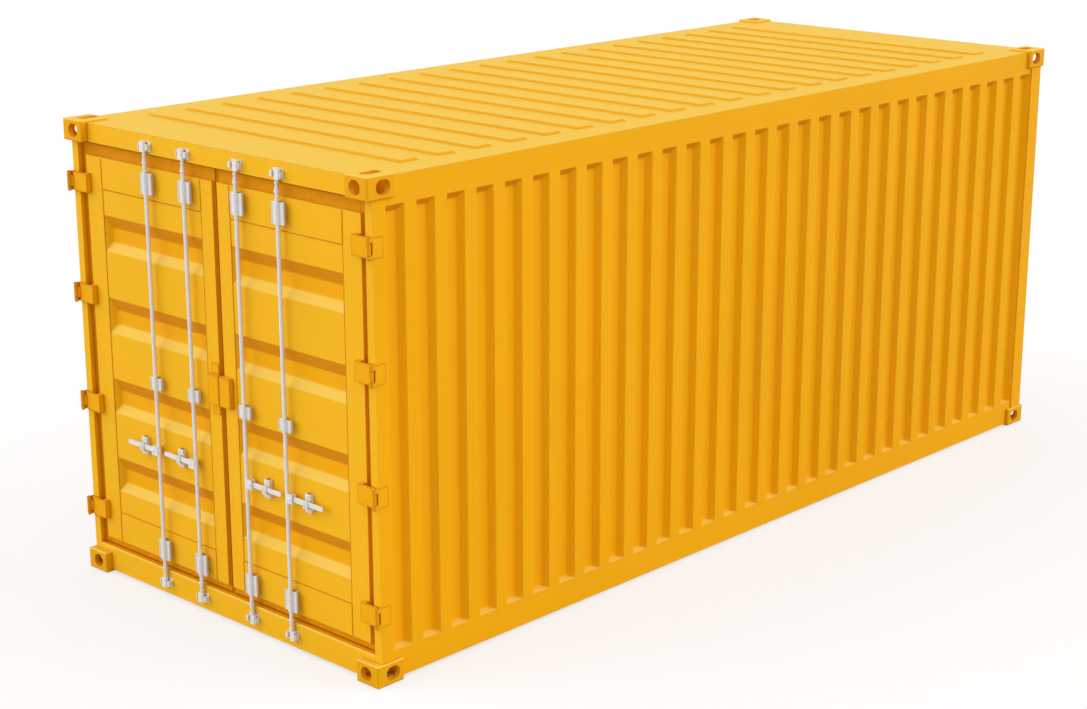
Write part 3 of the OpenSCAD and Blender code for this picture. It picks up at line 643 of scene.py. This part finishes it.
def sill_paint(top):
    """Paint of the sill, with painted light on its front, a painted highlight along its upper edge and
    painted shade on its level faces under the doors.
    """
    def upper_edge(tree, place):
        return remap(tree, along(tree, place, "Z"), *(top - depth for depth in SILL_HIGHLIGHT))

    return paint_coat("sill_paint", finish().door_end_light, looks_out, level=finish().ledge, lightened=upper_edge)


def door_panel_paint(face):
    """Painted light on the proud faces of the door panels, with the floors of the recesses left in the
    deeper tone as painted shade.
    """
    def proud(tree, place):
        full, none = (face + depth for depth in RECESS_FADE)
        return remap(tree, along(tree, place, "Y"), none, full)

    return paint_coat("door_panel_paint", finish().door_end_light, proud)


def paint_of(node):
    """The paint that a node of the frame carries."""
    if node == "roof_panel":
        return roof_paint()
    if node.endswith("_castings"):
        return casting_paint()
    if node.endswith("_door_panel"):
        return door_panel_paint(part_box(node)[0].y)
    if node.endswith(("_hinge_straps", "_hinge_lugs", "_lock_plate")):
        return plate_paint()
    if node == "door_sill":
        return sill_paint(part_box(node)[1].z)
    if node.endswith(("_door_post", "_door_frame")) or node == "door_header":
        return door_end_paint()
    return container_paint()


def zinc_coat():
    """Galvanised steel: pale, with spangle, dull patches and painted shade in the corners."""
    material, tree, shader, place = start_material("zinc_coat")
    if tree is None:
        return material
    zinc = finish().zinc
    spangle = tree.nodes.new("ShaderNodeTexVoronoi")
    spangle.inputs["Scale"].default_value = 130.0
    tree.links.new(place, spangle.inputs["Vector"])
    grain = tree.nodes.new("ShaderNodeSeparateColor")
    tree.links.new(spangle.outputs["Color"], grain.inputs["Color"])
    tone = blend(tree, grain.outputs["Red"], shade(zinc, 0.95), shade(zinc, 1.04))
    dull = noise(tree, place, scale=14.0, detail=4.0, roughness=0.6)
    tone = blend(tree, remap(tree, dull, 0.5, 0.75, 0.0, 0.35), tone, shade(zinc, 0.84))
    # Painted shade in corners and gaps, found by ambient occlusion
    tone = blend(tree, crevice_mask(tree, 0.02, 0.5, 0.15), tone, shade(zinc, 0.62))
    feed(tree, shader.inputs["Base Color"], tone)
    feed(tree, shader.inputs["Roughness"], remap(tree, grain.outputs["Green"], 0.0, 1.0, 0.36, 0.52))
    feed(tree, shader.inputs["Metallic"], 0.15)
    bump(tree, shader, noise(tree, place, scale=260.0), 0.08, 0.0006)
    return material


def seal_rubber():
    """Matte rubber under old paint."""
    material, tree, shader, place = start_material("door_seal_rubber")
    if tree is None:
        return material
    rubber = finish().rubber
    patches = remap(tree, noise(tree, place, scale=30.0, detail=4.0), 0.35, 0.7)
    feed(tree, shader.inputs["Base Color"], blend(tree, patches, rubber, shade(rubber, 0.9)))
    feed(tree, shader.inputs["Specular IOR Level"], 0.08)
    feed(tree, shader.inputs["Roughness"], remap(tree, noise(tree, place, scale=60.0), 0.3, 0.7, 0.62, 0.8))
    bump(tree, shader, noise(tree, place, scale=350.0, detail=2.0), 0.12, 0.0008)
    return material


def sealant_bead():
    """Hand-laid sealing compound, a little wavy."""
    material, tree, shader, place = start_material("sealant_bead")
    if tree is None:
        return material
    sealant = finish().sealant
    patches = remap(tree, noise(tree, place, scale=18.0), 0.3, 0.7)
    feed(tree, shader.inputs["Base Color"], blend(tree, patches, sealant, shade(sealant, 1.12)))
    feed(tree, shader.inputs["Specular IOR Level"], 0.1)
    feed(tree, shader.inputs["Roughness"], remap(tree, noise(tree, place, scale=40.0), 0.3, 0.7, 0.5, 0.7))
    bump(tree, shader, noise(tree, place, scale=90.0, detail=2.0), 0.2, 0.0012)
    return material


def floor_plywood():
    """Oiled plywood: long grain and darker wear."""
    material, tree, shader, place = start_material("floor_plywood")
    if tree is None:
        return material
    plywood = finish().plywood
    grain = noise(tree, place, scale=6.0, detail=6.0, roughness=0.6, stretch=(9.0, 0.45, 20.0))
    tone = blend(tree, remap(tree, grain, 0.3, 0.7), shade(plywood, 0.72), shade(plywood, 1.3))
    scuffs = noise(tree, place, scale=2.4, detail=5.0, roughness=0.65)
    tone = blend(tree, remap(tree, scuffs, 0.5, 0.72, 0.0, 0.5), tone, shade(plywood, 0.6))
    feed(tree, shader.inputs["Base Color"], tone)
    feed(tree, shader.inputs["Roughness"], remap(tree, grain, 0.2, 0.8, 0.55, 0.75))
    bump(tree, shader, grain, 0.25, 0.0015)
    return material


# Pieces

def give_material(node, material):
    """Gives a solid of the frame its material."""
    obj = NODES[node]
    if obj.material_slots:
        for place in obj.material_slots:
            place.material = material
    else:
        obj.data.materials.append(material)


def round_edges(node, width):
    """Rounds the edges of a solid of the frame with live modifiers, so that its mesh stays as it is."""
    obj = NODES[node]
    weld = obj.modifiers.new("Weld", "WELD")
    weld.merge_threshold = WELD_REACH
    flat = obj.modifiers.new("Flat faces", "DECIMATE")
    flat.decimate_type = "DISSOLVE"
    flat.angle_limit = math.radians(0.5)
    edge = obj.modifiers.new("Rounded edges", "BEVEL")
    edge.width = width
    edge.segments = 2
    edge.limit_method = "ANGLE"
    edge.angle_limit = math.radians(40.0)
    normals = obj.modifiers.new("Even shading", "WEIGHTED_NORMAL")
    normals.weight = FLAT_LEAD


class CONTAINER_OT_frame(bpy.types.Operator):
    """Paint the welded frame, the castings, the hinges and the lock plate, and round the edges of all but
    the castings and the sheets
    """

    bl_idname = "container.paint_frame"
    bl_label = "Paint frame"

    def execute(self, context):
        for node in PAINTED:
            give_material(node, paint_of(node))
            if node not in SHEETS and not node.endswith("_castings"):
                side_rail = node.startswith(SIDES) and node.endswith("_rail")
                round_edges(node, sizes().rail_edge if side_rail else sizes().frame_edge)
        return {"FINISHED"}


class CONTAINER_OT_hardware(bpy.types.Operator):
    """Give rods, handles, brackets, catches and keepers their zinc coat and round their edges"""

    bl_idname = "container.coat_hardware"
    bl_label = "Coat door hardware"

    def execute(self, context):
        for node in GALVANISED:
            give_material(node, zinc_coat())
            round_edges(node, sizes().hardware_edge)
        return {"FINISHED"}


def pressed_sheet(node, body, bend, low_border):
    """Makes a pressed sheet with rounded bends from a copy of the solid, and lets it stand for it."""
    def bent(edge):
        near_border = max(v.co.z for v in edge.verts) < low_border
        return LEAST_BEND < bend_angle(edge) < MOST_BEND and not near_border

    sheet = clean_copy(node, f"{node}_sheet")
    with edit(sheet):
        pick(sheet, "EDGE", bent)
        bevel(bend)
    smooth(sheet, 40.0)
    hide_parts(node)
    settle(sheet, body, paint_of(node))


class CONTAINER_OT_sheets(bpy.types.Operator):
    """Press walls, roof and door panels with rounded bends"""

    bl_idname = "container.press_sheets"
    bl_label = "Press sheets"

    def execute(self, context):
        size = sizes()
        for node, body in SHEETS.items():
            if node.endswith("_wall"):
                pressed_sheet(node, body, size.wall_bend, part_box(node)[0].z + WALL_BORDER)
            else:
                pressed_sheet(node, body, size.sheet_bend, 0.0)
        return {"FINISHED"}


def raised_strip(low, high, height, width=None):
    """A flat strip or a ring of a width, raised along -Y from the corners low and high, with soft edges."""
    def front(edge):
        return all(v.co.y < low.y - height / 2 for v in edge.verts) and bend_angle(edge) > 30.0

    middle = (low + high) / 2
    deselect_all()
    bpy.ops.mesh.primitive_plane_add(size=1.0, location=(middle.x, low.y, middle.z),
                                     rotation=(math.radians(90.0), 0.0, 0.0))
    strip = bpy.context.object
    strip.scale = (high.x - low.x, high.z - low.z, 1.0)
    apply_place(strip)
    with edit(strip):
        bpy.ops.mesh.select_all(action="SELECT")
        if width is not None:
            bpy.ops.mesh.inset(thickness=width, depth=0.0)
            bpy.ops.mesh.delete(type="FACE")
            bpy.ops.mesh.select_all(action="SELECT")
        extrude(0.0, -height, 0.0)
        face_outward()
        pick(strip, "EDGE", front)
        bevel(height * 0.7)
    smooth(strip, 50.0)
    return strip


class CONTAINER_OT_beads(bpy.types.Operator):
    """Lay the sealing beads round the door panels and along the joints of the door frames"""

    bl_idname = "container.lay_beads"
    bl_label = "Sealing beads"

    # Distance of the frame beads from the ends of a leaf and from the bead round the panel
    end, gap = 0.004, 0.001

    def execute(self, context):
        size = sizes()
        width, height = size.bead_width, size.bead_height
        low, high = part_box("left_door_panel")
        leaf_low, leaf_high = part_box("left_door_frame")
        face = leaf_low.y
        across = Matrix.Translation((high.x - low.x - width, 0.0, 0.0))
        strips = [raised_strip(low, high, height, width)]
        for z0, z1 in ((leaf_low.z + self.end, low.z - self.gap),
                       (high.z + self.gap, leaf_high.z - self.end)):
            strip = raised_strip(Vector((low.x, face, z0)), Vector((low.x + width, face, z1)), height)
            strips += [strip, copy_of(strip, "strip", across)]
        left = join(strips, "left_panel_bead")
        other = Matrix.Translation((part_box("right_door_panel")[0].x - low.x, 0.0, 0.0))
        right = copy_of(left, "right_panel_bead", other)
        for side, bead in zip(SIDES, (left, right)):
            settle(bead, f"{side}_door", sealant_bead())
        return {"FINISHED"}


def turned(name, radius, height, step, rim):
    """A turned ring with a stepped shoulder at both ends, standing on Z at the origin."""
    deselect_all()
    bpy.ops.mesh.primitive_cylinder_add(vertices=32, radius=radius, depth=height - 2 * step,
                                        location=(0.0, 0.0, 0.0))
    ring = bpy.context.object
    with edit(ring):
        for end in (-1, 1):
            pick_faces(ring, lambda c, n: n.z * end > SQUARE)
            bpy.ops.mesh.inset(thickness=step, depth=0.0)
            extrude(0.0, 0.0, end * step)
        round_corners(ring, rim)
    smooth(ring, 40.0)
    ring.name = name
    return ring


class CONTAINER_OT_rod_rings(bpy.types.Operator):
    """Turn the collars and neck rings of the lock rods"""

    bl_idname = "container.turn_rod_rings"
    bl_label = "Rod collars"

    # Height of a neck ring, and distance of a collar from the neck
    ring_height, collar_offset = 0.009, 0.022

    def execute(self, context):
        size = sizes()
        collar = turned("collar_master", size.collar_radius, size.collar_height, step=0.0025, rim=0.0009)
        ring = turned("ring_master", size.ring_radius, self.ring_height, step=0.0016, rim=0.0006)
        collar_in = size.cam_height + size.neck_length + self.collar_offset
        ring_in = size.cam_height + size.neck_length * 0.5
        for side, row in RODS:
            axis = joint_place(f"{side}_{row}_rod_turn")
            low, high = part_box(f"{side}_{row}_rod")
            parts = []
            for end, sign in ((low.z, 1), (high.z, -1)):
                for master, inset in ((collar, collar_in), (ring, ring_in)):
                    place = Matrix.Translation((axis.x, axis.y, end + sign * inset))
                    parts.append(copy_of(master, "ring", place))
            piece = join(parts, f"{side}_{row}_rod_collars")
            settle(piece, f"{side}_{row}_lock_rod", zinc_coat())
        remove(collar)
        remove(ring)
        return {"FINISHED"}


def domed(name, radius, height):
    """A domed head on a short shank, looking along -Y, with its seat at the origin."""
    shank, shoulder, crown = (height * part for part in (0.45, 0.30, 0.25))
    deselect_all()
    bpy.ops.mesh.primitive_cylinder_add(vertices=20, radius=radius, depth=shank,
                                        location=(0.0, -shank / 2, 0.0),
                                        rotation=(math.radians(90.0), 0.0, 0.0))
    head = bpy.context.object
    apply_place(head)
    with edit(head):
        pick_faces(head, lambda c, n: n.y < -SQUARE)
        for rim, rise in ((radius * 0.2, shoulder), (radius * 0.35, crown)):
            bpy.ops.mesh.inset(thickness=rim, depth=0.0)
            bpy.ops.transform.translate(value=(0.0, -rise, 0.0))
    smooth(head, 50.0, weighted=False)
    head.name = name
    return head


class CONTAINER_OT_rivets(bpy.types.Operator):
    """Set the rivets of the handle catches and the pivot heads of the handle hubs"""

    bl_idname = "container.set_rivets"
    bl_label = "Rivets and pivot heads"

    # Places of the rivet seats and the pivot heads along Y, from the axis of the handle
    rivet_seat, head_seat = 0.010, -0.015
    # Distance of a rivet from the end of its catch
    rivet_inset = 0.012

    def execute(self, context):
        size = sizes()
        rivet = domed("rivet_master", size.rivet_radius, HEAD_HEIGHT)
        head = domed("head_master", radius=0.0095, height=0.005)
        for side in SIDES:
            low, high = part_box(f"{side}_handle_catches")
            moves = []
            for row in ROWS:
                axis = joint_place(f"{side}_{row}_rod_turn")
                pivot = joint_place(f"{side}_{row}_handle_lift")
                x = axis.x + HANDLE_WAY[side] * size.catch_reach
                for z in (low.z + self.rivet_inset, high.z - self.rivet_inset):
                    moves.append(Matrix.Translation((x, pivot.y + self.rivet_seat, z)))
                place = Matrix.Translation((pivot.x, pivot.y + self.head_seat, pivot.z))
                piece = set_out(head, [place], f"{side}_{row}_pivot_head")
                settle(piece, f"{side}_{row}_lock_rod", zinc_coat())
            piece = set_out(rivet, moves, f"{side}_catch_rivets")
            settle(piece, f"{side}_door", zinc_coat())
        remove(rivet)
        remove(head)
        return {"FINISHED"}


def folded_clip(width, height, wall):
    """A clip with folded ends and two slanted ridges, looking along -Y, with its back at the origin."""
    fold, fold_depth = 0.003, 0.007
    ridge_near, ridge_far, ridge_rise, lean = 0.004, 0.014, 0.0028, 0.25
    fold_z = height / 2 - fold
    ridge_middle, ridge_half = (ridge_near + ridge_far) / 2, (ridge_far - ridge_near) / 2

    def folded(centre, normal):
        return normal.y > SQUARE and abs(centre.z) > fold_z - 0.0001

    def ridge(centre, normal):
        from_middle = abs(abs(centre.x + centre.z * lean) - ridge_middle)
        return normal.y < -SQUARE and from_middle < ridge_half

    deselect_all()
    bpy.ops.mesh.primitive_cube_add(size=1.0, location=(0.0, -wall / 2, 0.0))
    clip = bpy.context.object
    clip.scale = (width, wall, height)
    apply_place(clip)
    with edit(clip):
        for z in (fold_z, -fold_z):
            bpy.ops.mesh.select_all(action="SELECT")
            bpy.ops.mesh.bisect(plane_co=(0.0, 0.0, z), plane_no=(0, 0, 1))
        pick_faces(clip, folded)
        extrude(0.0, fold_depth, 0.0)
        for x in (-ridge_far, -ridge_near, ridge_near, ridge_far):
            bpy.ops.mesh.select_all(action="SELECT")
            bpy.ops.mesh.bisect(plane_co=(x, 0.0, 0.0), plane_no=(1, 0, lean))
        pick_faces(clip, ridge)
        extrude(0.0, -ridge_rise, 0.0)
        face_outward()
        round_corners(clip, 0.0009)
    smooth(clip, 40.0)
    return clip


class CONTAINER_OT_clips(bpy.types.Operator):
    """Fold the clips that hold the handles at their catches"""

    bl_idname = "container.fold_clips"
    bl_label = "Handle clips"

    # Place of a clip's back along Y, from the axis of the handle
    clip_seat = -0.004

    def execute(self, context):
        size = sizes()
        clip = folded_clip(size.clip_width, size.clip_height, wall=0.0035)
        for side, row in RODS:
            pivot = joint_place(f"{side}_{row}_handle_lift")
            x = joint_place(f"{side}_{row}_rod_turn").x + HANDLE_WAY[side] * size.catch_reach
            place = Matrix.Translation((x, pivot.y + self.clip_seat, pivot.z))
            piece = set_out(clip, [place], f"{side}_{row}_handle_clip")
            settle(piece, f"{side}_{row}_rod_handle", zinc_coat())
        remove(clip)
        return {"FINISHED"}


class CONTAINER_OT_pin_caps(bpy.types.Operator):
    """Set the caps on the hinge pins"""

    bl_idname = "container.cap_hinge_pins"
    bl_label = "Hinge pin caps"

    def execute(self, context):
        size = sizes()
        cap = domed("cap_master", 0.0085, HEAD_HEIGHT)
        for side in SIDES:
            pin = joint_place(f"{side}_door_hinge")
            low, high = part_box(f"{side}_hinge_lugs")
            moves = []
            for base in spread(low.z, high.z - size.hinge_height, size.hinge_count):
                moves.append(Matrix.Translation((pin.x, pin.y, base + size.hinge_height)) @ LOOK_UP)
                moves.append(Matrix.Translation((pin.x, pin.y, base)) @ LOOK_DOWN)
            piece = set_out(cap, moves, f"{side}_hinge_pin_caps")
            settle(piece, "container", plate_paint())
        remove(cap)
        return {"FINISHED"}


class CONTAINER_OT_seals(bpy.types.Operator):
    """Mould the door seals with rounded lips and a groove"""

    bl_idname = "container.mould_seals"
    bl_label = "Door seals"

    # Width of the lips, depth of the groove between them and reach of the rounded edges
    lip, groove, edge = 0.005, 0.007, 0.0018

    def execute(self, context):
        for side in SIDES:
            node = f"{side}_door_seal"
            seal = clean_copy(node, f"{side}_door_gasket")
            with edit(seal):
                pick_faces(seal, lambda c, n: n.y < -SQUARE)
                bpy.ops.mesh.inset(thickness=self.lip, depth=0.0)
                extrude(0.0, self.groove, 0.0)
                round_corners(seal, self.edge)
            smooth(seal, 40.0)
            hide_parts(node)
            settle(seal, f"{side}_door", seal_rubber())
        return {"FINISHED"}


class CONTAINER_OT_floor(bpy.types.Operator):
    """Give the floor boards their plywood look and drive in the screws"""

    bl_idname = "container.lay_floor"
    bl_label = "Floor"

    # Reach of the rounded board edges, and distance of the outer screws from the floor's edges
    board_edge, across, lengthwise = 0.0015, 0.05, 0.06

    def execute(self, context):
        size = sizes()
        give_material("floor_boards", floor_plywood())
        round_edges("floor_boards", self.board_edge)
        low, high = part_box("floor_boards")
        screw = domed("screw_master", size.screw_radius, height=0.002)
        moves = [Matrix.Translation((x, y, high.z)) @ LOOK_UP
                 for y in spread(low.y + self.lengthwise, high.y - self.lengthwise, size.screw_rows)
                 for x in spread(low.x + self.across, high.x - self.across, size.screw_columns)]
        piece = set_out(screw, moves, "floor_screws")
        settle(piece, "container", zinc_coat())
        remove(screw)
        return {"FINISHED"}


# Stage

def flat_shader(tree, kind, grey=1.0):
    """A shader of one grey, with its strength left as it is."""
    node = tree.nodes.new(kind)
    feed(tree, node.inputs["Color"], shade(WHITE, grey))
    return node


def mix_shaders(tree, factor, first, second):
    """Mixes two shaders by a socket or a number."""
    node = tree.nodes.new("ShaderNodeMixShader")
    feed(tree, node.inputs["Fac"], factor)
    tree.links.new(first.outputs[0], node.inputs[1])
    tree.links.new(second.outputs[0], node.inputs[2])
    return node


def seen_by(tree, *rays):
    """One where the light path is one of these rays."""
    path = tree.nodes.new("ShaderNodeLightPath")
    seen = path.outputs[rays[0]]
    for ray in rays[1:]:
        seen = math_node(tree, "MAXIMUM", seen, path.outputs[ray])
    return seen


class CONTAINER_OT_stage(bpy.types.Operator):
    """Set the camera, the pale floor, the sky and the lamps"""

    bl_idname = "container.set_stage"
    bl_label = "Stage"

    # Distance of the floor under the container, height of the lamps and how far the camera sees
    floor_drop, lamp_height, view_reach = 0.002, 8.0, 500.0

    def execute(self, context):
        stage = context.scene.container_stage
        deselect_all()
        bpy.ops.mesh.primitive_plane_add(size=stage.floor_size, location=(0.0, 0.0, -self.floor_drop))
        floor = context.object
        floor.name = "floor"
        floor.data.materials.append(self.floor_material(stage))
        self.sky(stage)
        for name, turn in (("raking_lamp_left", stage.lamp_turn),
                           ("raking_lamp_right", stage.lamp_turn + math.pi)):
            deselect_all()
            bpy.ops.object.light_add(type="SUN", location=(0.0, 0.0, self.lamp_height),
                                     rotation=(stage.lamp_tilt, 0.0, turn))
            lamp = context.object
            lamp.name = name
            lamp.data.energy = stage.raking_level
            lamp.data.angle = stage.lamp_spread
        deselect_all()
        bpy.ops.object.camera_add(location=stage.camera_place,
                                  rotation=(math.radians(90.0) - stage.camera_pitch, 0.0, stage.camera_yaw))
        camera = context.object
        camera.name = "photo_camera"
        camera.data.sensor_fit = "HORIZONTAL"
        camera.data.lens = stage.camera_lens
        camera.data.clip_end = self.view_reach
        context.scene.camera = camera
        context.scene.view_settings.view_transform = "Standard"
        return {"FINISHED"}

    def floor_material(self, stage):
        """White to the camera and in gloss, with the soft shadow kept, and a quiet grey to other light."""
        material = bpy.data.materials.new("studio_floor")
        tree, out = empty_tree(material, "ShaderNodeOutputMaterial")
        white = mix_shaders(tree, stage.floor_shadow, flat_shader(tree, "ShaderNodeEmission"),
                            flat_shader(tree, "ShaderNodeBsdfDiffuse", 0.9))
        seen = seen_by(tree, "Is Camera Ray", "Is Glossy Ray", "Is Transmission Ray")
        mix = mix_shaders(tree, seen, flat_shader(tree, "ShaderNodeBsdfDiffuse", 0.4), white)
        tree.links.new(mix.outputs[0], out.inputs["Surface"])
        return material

    def sky(self, stage):
        """Soft light all round, a little weaker from above, and white to the camera."""
        world = bpy.data.worlds.new("studio_sky")
        bpy.context.scene.world = world
        tree, out = empty_tree(world, "ShaderNodeOutputWorld")
        place = tree.nodes.new("ShaderNodeTexCoord")
        height = along(tree, place.outputs["Generated"], "Z")
        light = flat_shader(tree, "ShaderNodeBackground")
        feed(tree, light.inputs["Strength"],
             remap(tree, height, 0.0, 1.0, stage.sky_level, stage.zenith_level))
        seen = seen_by(tree, "Is Camera Ray", "Is Transmission Ray")
        mix = mix_shaders(tree, seen, light, flat_shader(tree, "ShaderNodeBackground"))
        tree.links.new(mix.outputs[0], out.inputs["Surface"])


class CONTAINER_PT_looks(bpy.types.Panel):
    """Lists the steps that dress the container"""

    bl_idname = "CONTAINER_PT_looks"
    bl_label = "Container"
    bl_space_type = "VIEW_3D"
    bl_region_type = "UI"
    bl_category = "Container"

    def draw(self, context):
        layout = self.layout
        for step in STEPS:
            layout.operator(step.bl_idname)
        for name, group in GROUPS.items():
            box = layout.box()
            for value in group.__annotations__:
                box.prop(getattr(context.scene, name), value)


STEPS = (
    CONTAINER_OT_frame, CONTAINER_OT_hardware, CONTAINER_OT_sheets, CONTAINER_OT_beads,
    CONTAINER_OT_rod_rings, CONTAINER_OT_rivets, CONTAINER_OT_clips, CONTAINER_OT_pin_caps,
    CONTAINER_OT_seals, CONTAINER_OT_floor, CONTAINER_OT_stage,
)
GROUPS = {
    "container_finish": ContainerFinish,
    "container_sizes": ContainerSizes,
    "container_stage": ContainerStage,
}


def register():
    """Registers the groups, their places in the scene, the operators and the panel."""
    for group in GROUPS.values():
        bpy.utils.register_class(group)
    for name, group in GROUPS.items():
        setattr(bpy.types.Scene, name, PointerProperty(type=group))
    for step in (*STEPS, CONTAINER_PT_looks):
        bpy.utils.register_class(step)


def unregister():
    """Undoes register, in the opposite order."""
    for step in reversed((*STEPS, CONTAINER_PT_looks)):
        bpy.utils.unregister_class(step)
    for name in GROUPS:
        delattr(bpy.types.Scene, name)
    for group in reversed(list(GROUPS.values())):
        bpy.utils.unregister_class(group)


def main():
    """Dresses the container."""
    register()
    bpy.ops.container.paint_frame()
    bpy.ops.container.coat_hardware()
    bpy.ops.container.press_sheets()
    bpy.ops.container.lay_beads()
    bpy.ops.container.turn_rod_rings()
    bpy.ops.container.set_rivets()
    bpy.ops.container.fold_clips()
    bpy.ops.container.cap_hinge_pins()
    bpy.ops.container.mould_seals()
    bpy.ops.container.lay_floor()
    bpy.ops.container.set_stage()
    deselect_all()


if __name__ == "__main__":
    main()
